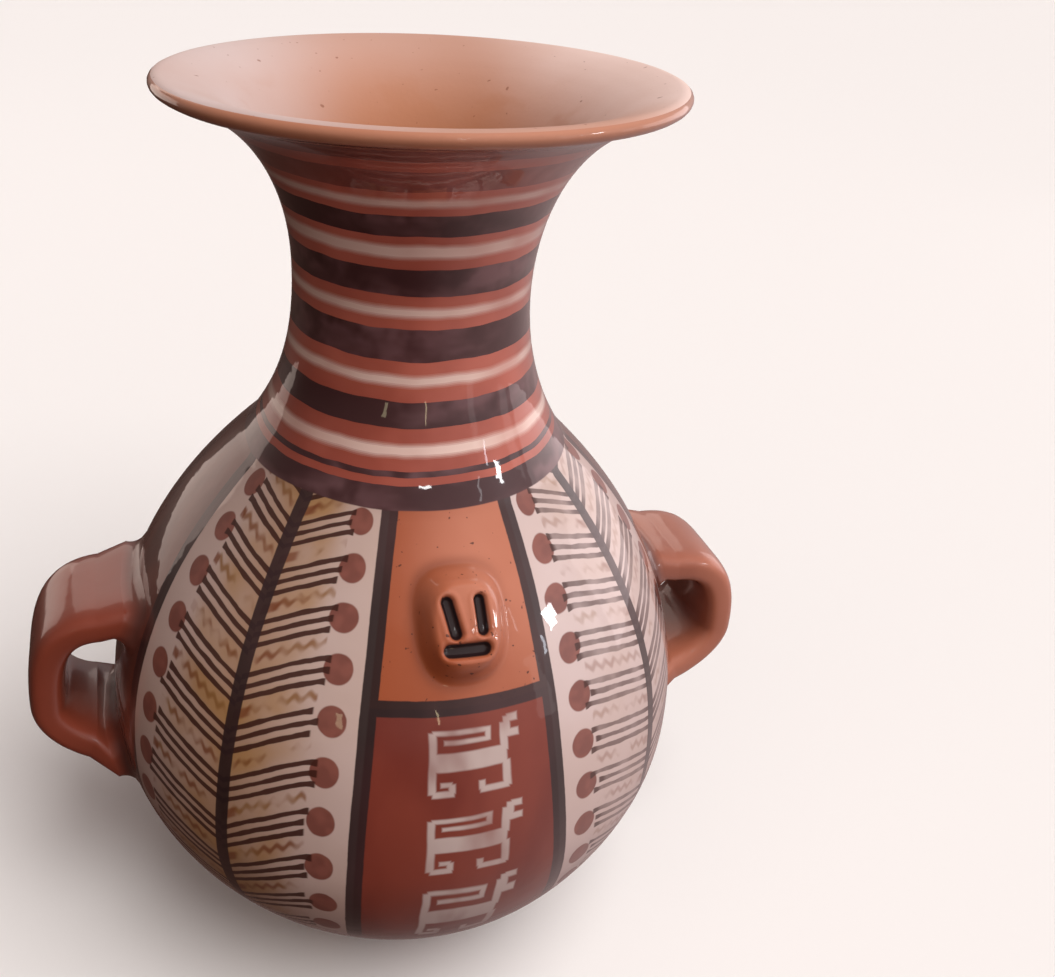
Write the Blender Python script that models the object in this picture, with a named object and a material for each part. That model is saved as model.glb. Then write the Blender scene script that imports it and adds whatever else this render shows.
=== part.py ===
"""Two-handled aryballos in glazed earthenware: a hollow turned vessel with a flared lip, a banded neck,
a round belly on a small flat foot, two upright strap handles and a modelled lug with three pressed grooves.

Metres, +Z up. The origin is the middle of the underside. The lug faces -Y and the handles stand at +X and -X.
Everything is one fired piece, so it is one object.
"""

import functools
import math

import bmesh
import bpy
from mathutils import Vector

# Outer radii of the turned form, from the lip's underside down to the foot
FLARE_RADIUS = 0.0981
WAIST_RADIUS = 0.0482
COLLAR_RADIUS = 0.0696
BELLY_RADIUS = 0.1278
FOOT_RADIUS = 0.0506

# Upright steps between the places of those radii, from the foot up
FOOT_TO_BELLY = 0.1078
BELLY_TO_COLLAR = 0.1232
COLLAR_TO_WAIST = 0.0682
WAIST_TO_FLARE = 0.0783

WALL = 0.0065
FLOOR = 0.008
LIP_BEAD = 0.0045

# Directions of the outline in degrees from straight down, positive outwards
FLARE_SLOPE = -77.0
COLLAR_SLOPE = 36.0
SHOULDER_SLOPE = 46.0
UNDERSIDE_SLOPE = -67.6

# How far each curve of the outline keeps its first and last direction, as shares of its chord
FLARE_PULL = (0.393, 0.402)
NECK_PULL = (0.400, 0.283)
SHOULDER_PULL = (0.281, 0.420)
UNDERSIDE_PULL = (0.332, 0.305)

OUTER_STEPS = (9, 8, 10, 10)
INNER_STEPS = (5, 3, 5, 5)
FINE_STEPS = (1, 1, 60, 60)
LIP_STEPS = 4
TURNED_SIDES = 56

# Strap handles: each is bent in the upright plane through the vessel's axis, around the belly's widest place
HANDLE_RISE = 0.0507
HANDLE_DROP = 0.0148
HANDLE_GAP = 0.0227
HANDLE_SET_BACK = 0.0062
HANDLE_THICKNESS = 0.0155
HANDLE_BREADTH = 0.0490
HANDLE_TOP_BREADTH = 0.0520
HANDLE_BOTTOM_BREADTH = 0.0610
HANDLE_KNEE = 0.66
HANDLE_TOP_PULL = (0.80, 0.62)
HANDLE_BOTTOM_PULL = (0.50, 0.50)
HANDLE_STEPS = 11
HANDLE_SIDES = 14
ROOT_SPREAD = 0.25
ROOT_BURY = 0.0025

# Exponents: below 1 they make a rounded outline squarer, above 1 they keep a change close to the ends
STRAP_SQUARENESS = (0.45, 0.6)
BREADTH_FALL = 2
THICKNESS_FALL = 6
LUG_SQUARENESS = 0.72

# Lug on the front of the shoulder, and its two upright grooves over a level one
LUG_BELOW_COLLAR = 0.0300
LUG_WIDTH = 0.0310
LUG_LENGTH = 0.0390
LUG_RELIEF = 0.0085
LUG_BURY = 0.0035
LUG_SIDES = 28
GROOVE_SIDES = 16
GROOVE_DEPTH = 0.0032
UPRIGHT_GROOVE = (0.0170, 0.0042)
LEVEL_GROOVE = (0.0140, 0.0060)
UPRIGHT_GAP = 0.0058
UPRIGHT_RISE = 0.0050
LEVEL_DROP = 0.0098
UPRIGHT_LEAN = 9.0

# Rings of the lug: height as a share of its relief, and size as a share of its own
LUG_RINGS = ((0.0, 1.04), (0.25, 0.95), (0.6, 0.88), (0.85, 0.80), (0.97, 0.68))
LUG_ROOT_SHARE = 1.08
# Rings of a groove's cutter: height as a share of its depth, and width as a share of its own
GROOVE_RINGS = ((-1.0, 0.62), (-0.6, 0.9), (1.0, 1.25))

MERGE_DISTANCE = 1e-5
SLOPE_STEP = 0.002

BELLY_HEIGHT = FOOT_TO_BELLY
COLLAR_HEIGHT = BELLY_HEIGHT + BELLY_TO_COLLAR
WAIST_HEIGHT = COLLAR_HEIGHT + COLLAR_TO_WAIST
FLARE_HEIGHT = WAIST_HEIGHT + WAIST_TO_FLARE
HANDLE_TOP = BELLY_HEIGHT + HANDLE_RISE
HANDLE_BOTTOM = BELLY_HEIGHT - HANDLE_DROP
HANDLE_REACH = BELLY_RADIUS + HANDLE_GAP + HANDLE_THICKNESS / 2
LUG_HEIGHT = COLLAR_HEIGHT - LUG_BELOW_COLLAR


def clear_scene():
    for old in list(bpy.data.objects):
        bpy.data.objects.remove(old, do_unlink=True)


def direction(slope):
    """Unit step (outwards, up) at this many degrees from straight down."""
    angle = math.radians(slope)
    return Vector((math.sin(angle), -math.cos(angle)))


def curve(start, leave, end, arrive, pull, steps):
    """Points of a cubic curve from start to end that leaves and arrives at these slopes, end left out."""
    chord = (end - start).length
    first = start + direction(leave) * chord * pull[0]
    last = end - direction(arrive) * chord * pull[1]
    points = []
    for step in range(steps):
        t = step / steps
        s = 1 - t
        points.append(start * s**3 + first * 3 * s * s * t + last * 3 * s * t * t + end * t**3)
    return points


def outline(steps):
    """The outer wall from under the lip down to the foot, as (radius, height) points."""
    flare = Vector((FLARE_RADIUS, FLARE_HEIGHT))
    waist = Vector((WAIST_RADIUS, WAIST_HEIGHT))
    collar = Vector((COLLAR_RADIUS, COLLAR_HEIGHT))
    belly = Vector((BELLY_RADIUS, BELLY_HEIGHT))
    foot = Vector((FOOT_RADIUS, 0.0))
    points = curve(flare, FLARE_SLOPE, waist, 0.0, FLARE_PULL, steps[0])
    points += curve(waist, 0.0, collar, COLLAR_SLOPE, NECK_PULL, steps[1])
    points += curve(collar, SHOULDER_SLOPE, belly, 0.0, SHOULDER_PULL, steps[2])
    points += curve(belly, 0.0, foot, UNDERSIDE_SLOPE, UNDERSIDE_PULL, steps[3])
    return points + [foot]


def inner_wall(points):
    """The outline moved inwards by the wall, down to the floor of the hollow, as far as the axis."""
    moved = []
    for index, point in enumerate(points):
        before = points[max(index - 1, 0)]
        after = points[min(index + 1, len(points) - 1)]
        along = (after - before).normalized()
        inwards = Vector((along.y, -along.x))
        moved.append(point + inwards * WALL)
    kept = [point for point in moved if point.y > FLOOR]
    below = moved[len(kept)]
    share = (kept[-1].y - FLOOR) / (kept[-1].y - below.y)
    return kept + [kept[-1].lerp(below, share), Vector((0.0, FLOOR))]


def lip(outer_end, inner_end):
    """The rounded bead between the two walls, from the outer one over the top, both ends left out."""
    middle = (outer_end + inner_end) / 2
    across = (inner_end - outer_end) / 2
    reach = -direction(FLARE_SLOPE) * LIP_BEAD
    points = []
    for step in range(1, LIP_STEPS + 1):
        angle = math.pi * step / (LIP_STEPS + 1)
        points.append(middle - across * math.cos(angle) + reach * math.sin(angle))
    return points


@functools.cache
def fine_outline():
    return outline(FINE_STEPS)


def radius_at(height):
    """Radius of the outer wall at a height between the foot and the collar."""
    points = [point for point in fine_outline() if point.y <= COLLAR_HEIGHT]
    for above, below in zip(points, points[1:]):
        if below.y <= height:
            share = (above.y - height) / (above.y - below.y)
            return above.x + (below.x - above.x) * share
    return points[-1].x


def new_object(name, mesh_builder):
    mesh = bpy.data.meshes.new(name)
    bmesh.ops.recalc_face_normals(mesh_builder, faces=mesh_builder.faces[:])
    mesh_builder.to_mesh(mesh)
    mesh_builder.free()
    made = bpy.data.objects.new(name, mesh)
    bpy.context.scene.collection.objects.link(made)
    return made


def turned_vessel():
    """The hollow body of revolution: outer wall, lip and inner wall in one closed section."""
    outer = outline(OUTER_STEPS)
    inner = inner_wall(outline(INNER_STEPS))
    section = [Vector((0.0, 0.0))] + outer[::-1] + lip(outer[0], inner[0]) + inner
    builder = bmesh.new()
    points = [builder.verts.new((point.x, 0.0, point.y)) for point in section]
    edges = [builder.edges.new(pair) for pair in zip(points, points[1:])]
    bmesh.ops.spin(
        builder,
        geom=points + edges,
        cent=(0, 0, 0),
        axis=(0, 0, 1),
        angle=math.tau,
        steps=TURNED_SIDES,
        use_merge=True,
    )
    bmesh.ops.remove_doubles(builder, verts=builder.verts[:], dist=MERGE_DISTANCE)
    return new_object("aryballos", builder)


def handle_line():
    """Middle line of a strap in its own plane, from the upper root out and down to the lower one."""
    top = Vector((radius_at(HANDLE_TOP) - ROOT_BURY, HANDLE_TOP))
    bottom = Vector((radius_at(HANDLE_BOTTOM) - ROOT_BURY, HANDLE_BOTTOM))
    knee = Vector((HANDLE_REACH, HANDLE_TOP + (HANDLE_BOTTOM - HANDLE_TOP) * HANDLE_KNEE))
    corners = (
        (top, Vector((knee.x, top.y)), knee, HANDLE_TOP_PULL),
        (knee, Vector((knee.x, bottom.y)), bottom, HANDLE_BOTTOM_PULL),
    )
    points = []
    for start, corner, end, pull in corners:
        first = start.lerp(corner, pull[0])
        last = end.lerp(corner, pull[1])
        for step in range(HANDLE_STEPS):
            t = step / HANDLE_STEPS
            s = 1 - t
            points.append(start * s**3 + first * 3 * s * s * t + last * 3 * s * t * t + end * t**3)
    return points + [bottom]


def signed_power(value, exponent):
    return math.copysign(abs(value) ** exponent, value)


def strap_section(breadth, thickness):
    """Rounded oblong around the middle line, as (sideways, outwards) offsets."""
    offsets = []
    for side in range(HANDLE_SIDES):
        angle = math.tau * (side + 0.5) / HANDLE_SIDES
        across = signed_power(math.cos(angle), STRAP_SQUARENESS[0])
        out = signed_power(math.sin(angle), STRAP_SQUARENESS[1])
        offsets.append((across * breadth / 2, out * thickness / 2))
    return offsets


def strap_handle(name, side):
    """One handle at +X or -X. Its ends widen onto the wall and lie inside it, following its curve."""
    line = handle_line()
    last = len(line) - 1
    builder = bmesh.new()
    rings = []
    for index, point in enumerate(line):
        share = index / last
        along = (line[min(index + 1, last)] - line[max(index - 1, 0)]).normalized()
        outwards = Vector((-along.y, along.x))
        end_share = abs(2 * share - 1)
        widest = HANDLE_TOP_BREADTH if share < 0.5 else HANDLE_BOTTOM_BREADTH
        breadth = HANDLE_BREADTH + (widest - HANDLE_BREADTH) * end_share**BREADTH_FALL
        thickness = HANDLE_THICKNESS * (1 + ROOT_SPREAD * end_share**THICKNESS_FALL)
        ring = []
        for across, out in strap_section(breadth, thickness):
            place = point + outwards * out
            if index in (0, last):
                seat = radius_at(place.y) - ROOT_BURY
                place = Vector((math.sqrt(seat**2 - (HANDLE_SET_BACK + across) ** 2), place.y))
            ring.append(builder.verts.new((side * place.x, HANDLE_SET_BACK + across, place.y)))
        rings.append(ring)
    for lower, upper in zip(rings, rings[1:]):
        for number in range(HANDLE_SIDES):
            after = (number + 1) % HANDLE_SIDES
            builder.faces.new((lower[number], lower[after], upper[after], upper[number]))
    for ring, point in ((rings[0], line[0]), (rings[-1], line[-1])):
        hub = builder.verts.new((side * point.x, HANDLE_SET_BACK, point.y))
        for number in range(HANDLE_SIDES):
            builder.faces.new((ring[number], ring[(number + 1) % HANDLE_SIDES], hub))
    return new_object(name, builder)


def lug_frame():
    """Middle of the lug on the wall, its outward normal and its downward direction, in the plane x = 0."""
    slope = radius_at(LUG_HEIGHT - SLOPE_STEP) - radius_at(LUG_HEIGHT + SLOPE_STEP)
    slope /= 2 * SLOPE_STEP
    down = Vector((0.0, -slope, -1.0)).normalized()
    normal = Vector((0.0, -1.0, slope)).normalized()
    return Vector((0.0, -radius_at(LUG_HEIGHT), LUG_HEIGHT)), normal, down


def lug_body():
    """Low rounded boss: closed rings that spread at the wall and draw in to a slightly crowned face."""
    middle, normal, down = lug_frame()
    across = Vector((1.0, 0.0, 0.0))
    levels = [(-LUG_BURY, LUG_ROOT_SHARE)]
    levels += [(height * LUG_RELIEF, share) for height, share in LUG_RINGS]
    builder = bmesh.new()
    rings = []
    for lift, share in levels:
        ring = []
        for side in range(LUG_SIDES):
            angle = math.tau * side / LUG_SIDES
            x = signed_power(math.cos(angle), LUG_SQUARENESS) * LUG_WIDTH / 2 * share
            y = signed_power(math.sin(angle), LUG_SQUARENESS) * LUG_LENGTH / 2 * share
            ring.append(builder.verts.new(middle + across * x + down * y + normal * lift))
        rings.append(ring)
    for lower, upper in zip(rings, rings[1:]):
        for number in range(LUG_SIDES):
            after = (number + 1) % LUG_SIDES
            builder.faces.new((lower[number], lower[after], upper[after], upper[number]))
    for ring, lift in ((rings[0], -LUG_BURY), (rings[-1], LUG_RELIEF)):
        hub = builder.verts.new(middle + normal * lift)
        for number in range(LUG_SIDES):
            builder.faces.new((ring[number], ring[(number + 1) % LUG_SIDES], hub))
    return new_object("lug", builder)


def groove_cutter(name, size, place, lean):
    """A rounded bar that leaves one pressed groove in the lug's face."""
    middle, normal, down = lug_frame()
    length, width = size
    across = Vector((1.0, 0.0, 0.0))
    turn = math.radians(lean)
    along = down * math.cos(turn) + across * math.sin(turn)
    sideways = across * math.cos(turn) - down * math.sin(turn)
    centre = middle + across * place[0] + down * place[1]
    builder = bmesh.new()
    rings = []
    for level, share in GROOVE_RINGS:
        lift = LUG_RELIEF + level * GROOVE_DEPTH
        ring = []
        for side in range(GROOVE_SIDES):
            angle = math.tau * side / GROOVE_SIDES
            run = math.copysign((length - width) / 2, math.cos(angle))
            x = run + math.cos(angle) * width / 2 * share
            y = math.sin(angle) * width / 2 * share
            ring.append(builder.verts.new(centre + along * x + sideways * y + normal * lift))
        rings.append(ring)
    for lower, upper in zip(rings, rings[1:]):
        for number in range(GROOVE_SIDES):
            after = (number + 1) % GROOVE_SIDES
            builder.faces.new((lower[number], lower[after], upper[after], upper[number]))
    builder.faces.new(rings[0])
    builder.faces.new(rings[-1])
    return new_object(name, builder)


def join_with(target, tool, operation):
    """Adds or cuts the tool's shape, and keeps the tool only as a guide."""
    modifier = target.modifiers.new(operation.lower(), "BOOLEAN")
    modifier.operation = operation
    modifier.solver = "EXACT"
    modifier.object = tool
    tool.hide_render = True
    tool.display_type = "WIRE"


def glazed_clay():
    material = bpy.data.materials.new("glazed_clay")
    material.use_nodes = True
    shader = material.node_tree.nodes["Principled BSDF"]
    shader.inputs["Base Color"].default_value = (0.42, 0.13, 0.07, 1.0)
    shader.inputs["Roughness"].default_value = 0.25
    shader.inputs["Metallic"].default_value = 0.0
    return material


clear_scene()
vessel = turned_vessel()
join_with(vessel, strap_handle("handle_right", 1), "UNION")
join_with(vessel, strap_handle("handle_left", -1), "UNION")

lug = lug_body()
grooves = (
    ("groove_left", UPRIGHT_GROOVE, (-UPRIGHT_GAP, -UPRIGHT_RISE), UPRIGHT_LEAN),
    ("groove_right", UPRIGHT_GROOVE, (UPRIGHT_GAP, -UPRIGHT_RISE), 0.0),
    ("groove_level", LEVEL_GROOVE, (0.0, LEVEL_DROP), 90.0),
)
for groove in grooves:
    join_with(lug, groove_cutter(*groove), "DIFFERENCE")
join_with(vessel, lug, "UNION")

vessel.data.materials.append(glazed_clay())
vessel.data.shade_smooth()
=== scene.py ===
"""Looks of the two-handled aryballos: a fine hollow vessel with its modelled lug, two strap handles drawn
into the wall, and painted slips under a clear glaze.

Metres, +Z up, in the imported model's frame. The lug faces -Y and the handles stand at +X and -X.
The paint is laid out by the angle around the vessel, in degrees from the lug and positive towards +X, and by
the way down the wall from the collar, in millimetres.
"""

import math

import bmesh
import bpy
import numpy as np
from mathutils import Matrix, Vector


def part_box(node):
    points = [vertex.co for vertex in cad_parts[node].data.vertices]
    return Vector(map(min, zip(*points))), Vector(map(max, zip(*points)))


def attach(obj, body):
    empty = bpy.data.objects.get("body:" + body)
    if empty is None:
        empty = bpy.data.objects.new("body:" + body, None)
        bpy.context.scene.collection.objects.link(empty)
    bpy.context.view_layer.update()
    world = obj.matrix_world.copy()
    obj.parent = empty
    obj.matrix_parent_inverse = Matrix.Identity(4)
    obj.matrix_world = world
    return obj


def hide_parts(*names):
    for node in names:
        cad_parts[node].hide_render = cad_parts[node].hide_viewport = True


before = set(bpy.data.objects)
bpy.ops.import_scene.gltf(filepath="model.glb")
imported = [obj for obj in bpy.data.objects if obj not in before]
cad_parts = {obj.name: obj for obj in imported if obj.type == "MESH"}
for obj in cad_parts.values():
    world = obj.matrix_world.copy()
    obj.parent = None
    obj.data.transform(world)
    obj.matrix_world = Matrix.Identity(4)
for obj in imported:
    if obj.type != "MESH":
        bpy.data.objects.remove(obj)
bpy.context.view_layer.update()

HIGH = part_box("aryballos")[1]

# The turned form. Its widest place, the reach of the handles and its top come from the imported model
BELLY_RADIUS = HIGH.y
HANDLE_REACH = HIGH.x
FLARE_RADIUS = 0.0962
WAIST_RADIUS = 0.0482
COLLAR_RADIUS = 0.0696
FOOT_RADIUS = 0.0506
BELLY_HEIGHT = 0.1078
COLLAR_HEIGHT = 0.2310
WAIST_HEIGHT = 0.2992
LIP_DROP = 0.0060
FLARE_HEIGHT = HIGH.z - LIP_DROP
WALL = 0.0065
FLOOR_THICKNESS = 0.008
LIP_BEAD = 0.0042
# The hand-thrown lip leans: its drop, and its rise per metre to the right and to the back
LIP_LEAN = (-0.0021, 0.0125, -0.0230)

# Directions of the outline in degrees from straight down, and how far each curve keeps them
FLARE_SLOPE = -77.0
COLLAR_SLOPE = 36.0
SHOULDER_SLOPE = 46.0
UNDERSIDE_SLOPE = -67.6
FLARE_PULL = (0.393, 0.402)
NECK_PULL = (0.400, 0.283)
SHOULDER_PULL = (0.281, 0.420)
UNDERSIDE_PULL = (0.332, 0.305)

OUTER_STEPS = (44, 32, 64, 62)
INNER_STEPS = (24, 16, 28, 24)
WALL_STEPS = (200, 160, 320, 320)
LIP_STEPS = 10
GLAZED_LIP_STEPS = 6
FOOT_RINGS = 3
FLOOR_RINGS = 5
# How far the corner between the inner wall and the floor is cut, inwards and upwards
FLOOR_CORNER = (0.004, 0.002)
# The innermost ring of a flat, as a share of its outer one
HUB_SHARE = 0.25
COLUMNS = 240
NEAREST_ROUNDS = 6
ON_GROUND = 1e-6

# Hand-made unevenness of the wall: size, waves around, waves down and phase of each swell
SWELLS = ((0.00035, 2, 9.0, 0.4), (0.00022, 3, 17.0, 2.1), (0.00014, 5, 31.0, 4.0))
SWELL_SLANT = 2
# Within this radius the swells of the inner wall die away
SWELL_RADIUS = 0.03

# Lug, and its grooves: both ends by (across, down) from the lug's middle in metres, then half the width
LUG_HEIGHT = 0.2010
LUG_WIDTH = 0.0310
LUG_LENGTH = 0.0390
LUG_RELIEF = 0.0088
LUG_SQUARENESS = 2.7
LUG_CUTS = 5
LUG_REACH = 1.35
# Shares of the lug's half size where its side starts to fall and where it meets the wall
LUG_SIDE = (0.66, 1.17)
LUG_CROWN = 0.10
GROOVE_DEPTH = 0.0034
GROOVES = (
    ((-0.0062, -0.0080), (-0.0042, 0.0030), 0.0026),
    ((0.0052, -0.0080), (0.0056, 0.0026), 0.0024),
    ((-0.0066, 0.0088), (0.0054, 0.0090), 0.0030),
)
# Shares of a groove's half width where its floor ends and where it meets the lug, and the rim beside it
GROOVE_SIDE = (0.35, 1.15)
RIM_PLACE = 1.45
RIM_WIDTH = 0.0008
RIM_LIFT = 0.00025
# Painted shade in the hollow around the lug: its middle and width as shares of the lug's half size, its
# strength at the middle of the lug, and how much of that goes for each metre to the right and down
LUG_SHADE_PLACE = 1.16
LUG_SHADE_WIDTH = 0.13
LUG_SHADE_STRENGTH = (0.55, 22, 6)

# Strap handles: the heights where the middle line leaves the wall, turns down and comes back come first
HANDLE_ROOT = 0.1530
HANDLE_TOP = 0.1605
HANDLE_BOTTOM = 0.0940
HANDLE_SET_BACK = 0.0062
HANDLE_THICKNESS = 0.0155
HANDLE_BREADTH = 0.0490
HANDLE_BOTTOM_BREADTH = 0.0610
HANDLE_KNEE = 0.66
HANDLE_TOP_PULL = (0.80, 0.62)
HANDLE_BOTTOM_PULL = (0.50, 0.50)
# The two hand-made straps differ a little: the reach past the model's, the breadth at the upper root and
# how much higher the upper part sits
STRAP_REACH = {"handle_right": 0.0025, "handle_left": -0.0028}
STRAP_TOP_BREADTH = {"handle_right": 0.0480, "handle_left": 0.0550}
STRAP_LIFT = {"handle_right": -0.0012, "handle_left": 0.0030}
HANDLE_STEPS = 40
HANDLE_SIDES = 56
STRAP_SQUARENESS = (0.40, 0.55)
FILLET = 0.0075
FILLET_STEPS = 9
# The last ring of a root lies just inside the wall, this far beyond the fillet
FLANGE_DIP = 0.00004
FLANGE_SKIRT = 0.0012
ROOT_ROUNDS = 12
NORMAL_STEP = 0.001
# The paint of a strap starts this far from the wall
STRAP_PAINT_START = 0.0005

# Paint on the neck: the way down from the collar where each colour ends, from under the lip
NECK_PAINT = (
    (-163.0, "clay"), (-151.0, "deep"), (-143.5, "red"), (-132.0, "deep"), (-128.3, "red"),
    (-124.3, "white"), (-120.3, "red"), (-110.5, "dark"), (-106.8, "red"), (-101.8, "white"),
    (-96.5, "red"), (-86.0, "dark"), (-81.3, "red"), (-77.3, "white"), (-72.2, "red"),
    (-60.0, "dark"), (-54.3, "red"), (-50.7, "white"), (-44.6, "red"), (-34.0, "dark"),
    (-27.8, "red"), (-23.6, "white"), (-18.2, "red"), (-15.6, "dark"), (-12.6, "red"),
    (400.0, "black"),
)
# Each kind of neck paint is coded as (redness, whiteness, darkness)
NECK_CODES = {
    "clay": (0.0, 0.0, 0.0), "red": (1.0, 0.0, 0.0), "white": (1.0, 1.0, 0.0),
    "dark": (1.0, 0.0, 0.6), "deep": (1.0, 0.0, 0.3), "black": (1.0, 0.0, 1.0),
}
PANEL_TOP = -2.8
# The part of the way down that the neck's colours are laid along
NECK_SPAN = (-180.0, 20.0)
# The whites are an average of four shifted copies, made thinner by a power
WHITE_SHIFTS = (-0.9, -0.3, 0.3, 0.9)
WHITE_POWER = 1.4

# Upright lines of the body, left and right, in degrees from the lug: at the collar, per millimetre down and
# per its square, then half their breadth in millimetres and the bar's way down
FRONT_LINES = ((18.2, 0.0095, 0.0), (20.4, -0.085, 0.00048))
STEM_LINES = ((46.8, -0.035, 0.00013), (49.3, -0.033, 0.0))
BORDER_LINES = ((77.6, -0.045, 0.0), (77.6, -0.045, 0.0))
LINE_HALF = 3.1
STEM_HALF = 2.9
BAR = (66.9, 73.0)
SOFT_EDGE = 0.5

# Ferns, as (outer left, outer right, inner left, inner right): the first dot's way down, dots per millimetre
# and how that changes on the way, then the fall of the strokes from dot to stem and how that grows
FERN_FIRST = (5.0, 3.0, 3.5, 2.0)
FERN_RATE = (0.0490, 0.0500, 0.05708, 0.05155)
FERN_CHANGE = (0.0, 0.0, -0.000039, 0.0)
FERN_FALL = (10.2, 11.0, 10.5, 12.0)
FERN_FALL_GROWTH = (0.0, 0.0, 0.07, 0.02)
FERN_UNIT = 19.6
FALL_CURVE = 1.2
# Degrees of the dots from the front line, with their change per millimetre down, and from the stem
INNER_DOT = (8.1, -0.016)
OUTER_DOT = 21.4
DOT_SIZE = (5.7, 6.1)
TIP_GAP = 2.5
STROKE_GAP = 4.3
STROKE_HALF = 1.05
OUTER_RIGHT_EXTRA = 0.45
SQUIGGLE_WAVE = 5.4
# Apart for the right side and for the inner edge, so that no two rows of dots share their chances
SIDE_SEEDS = (40.0, 90.0)

# Figures in the front panel: one animal, three times, as oblongs of (from, to) across and down in millimetres
FIGURE_TOP = 77.0
FIGURE_STEP = 35.0
FIGURE_COUNT = 3
FIGURE_LEAD = 4.0
# Below this way down the figures are drawn longer, because this share of what follows isn't counted
FIGURE_STRETCH = (147.0, 0.39)
DEGREE_LENGTH = 2.15
FIGURE = (
    ((-16.5, -13.6), (2.0, 26.0)),
    ((-15.0, 14.8), (9.8, 17.2)),
    ((12.2, 15.4), (1.0, 12.0)),
    ((13.8, 17.0), (-1.0, 7.0)),
    ((15.6, 20.2), (-1.6, 1.2)),
    ((15.6, 20.4), (4.0, 7.0)),
    ((-15.0, 8.0), (1.3, 3.1)),
    ((5.8, 8.2), (1.5, 6.6)),
    ((-10.8, 7.4), (4.9, 6.7)),
    ((12.8, 15.9), (16.0, 26.6)),
    ((3.4, 15.0), (24.8, 27.4)),
    ((3.0, 5.5), (22.4, 26.0)),
    ((-15.0, -6.6), (24.8, 27.4)),
    ((-8.8, -6.2), (22.2, 26.0)),
    ((-11.8, -7.4), (21.4, 23.4)),
)

# Slips and clay, as linear colours
ORANGE = (0.53, 0.185, 0.105)
ORANGE_DEEP = (0.37, 0.084, 0.028)
ORANGE_SHADE = (0.22, 0.050, 0.018)
RED_FIELD = (0.170, 0.026, 0.016)
RED_FIELD_LIGHT = (0.235, 0.045, 0.027)
NECK_RED = (0.64, 0.175, 0.120)
NECK_RED_DEEP = (0.38, 0.080, 0.050)
DARK = (0.018, 0.0085, 0.0095)
DARK_WASH = (0.075, 0.033, 0.036)
# The neck's dark rings, then their paler patches of uneven paint and painted reflection
NECK_DARK = (0.045, 0.015, 0.018)
NECK_DARK_WASH_AND_REFLECTION = (0.19, 0.095, 0.105)
LIP_SLIP = (0.52, 0.22, 0.13)
NECK_WHITE = (0.90, 0.68, 0.60)
CREAM = (0.66, 0.53, 0.51)
CREAM_TAN = (0.43, 0.255, 0.155)
OCHRE = (0.42, 0.22, 0.075)
OCHRE_DEEP = (0.27, 0.12, 0.035)
RUST = (0.20, 0.052, 0.017)
DOT = (0.175, 0.036, 0.022)
DOT_LIGHT = (0.23, 0.056, 0.036)
STROKE = (0.050, 0.012, 0.0075)
FIGURE_WHITE = (0.56, 0.45, 0.42)
SIDE_SLIP = (0.165, 0.048, 0.032)
SIDE_SLIP_DARK = (0.075, 0.022, 0.017)
# The straps' slip: darker on the left strap as painted shade, paler on the right one as painted light
HANDLE_SLIP_LIT_RIGHT = (0.46, 0.155, 0.090)
HANDLE_SLIP_SHADED_LEFT = (0.25, 0.050, 0.026)
HANDLE_WASH = (0.19, 0.040, 0.022)
CLAY = (0.56, 0.33, 0.26)
# Deeper clay, for blotches and for painted shade towards the middle
CLAY_DEEP = (0.47, 0.20, 0.105)
CLAY_PINK = (0.63, 0.51, 0.49)
# Paler clay as painted light, on the right inside the mouth
CLAY_PAINTED_LIGHT = (0.86, 0.68, 0.63)

# The camera, from the photograph's 1055 x 977 frame
PHOTO_SIZE = (1055, 977)
FOCAL_PIXELS = 1163.6
CENTRE_PIXEL = (434.5, 398.9)
EYE = Vector((-0.1124, -0.4254, 0.4660))
PITCH = 0.462
ROLL = -0.062
YAW = 0.027
FRONT_TURN = math.radians(14.8)
SENSOR = 36.0
CLIP_START = 0.01

# Floor and backdrop, as linear colours and in metres
FLOOR_COLOUR = (0.90, 0.89, 0.88)
FLOOR_SIZE = 30.0
FLOOR_ROUGHNESS = 0.95
BACKDROP = (0.90, 0.83, 0.80)
BACKDROP_RADIUS = 12.0

# Roughness of the glaze, which is duller on the straps
VESSEL_COAT = 0.035
STRAP_COAT = 0.12

# The room around the vessel, as it is mirrored in the glaze
LIGHT_TARGET = Vector((0.0, 0.0, 0.19))
ROOM_LOW_LEFT = (0.055, 0.028, 0.022)
ROOM_LOW_RIGHT = (0.54, 0.40, 0.39)
ROOM_HIGH_LEFT = (0.14, 0.10, 0.09)
ROOM_HIGH_RIGHT = (0.50, 0.44, 0.44)
SUN_DISTANCE = 3.0
SUN_SPREAD = 50
# Suns: name, degrees around from the front and above the floor, strength and colour
SUNS = (
    ("key", 40, 62, 2.55, (1.0, 0.97, 0.95)),
    ("fill", -50, 40, 0.25, (1.0, 0.86, 0.76)),
    ("front", 18, 12, 0.50, (1.0, 0.92, 0.90)),
)
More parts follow.
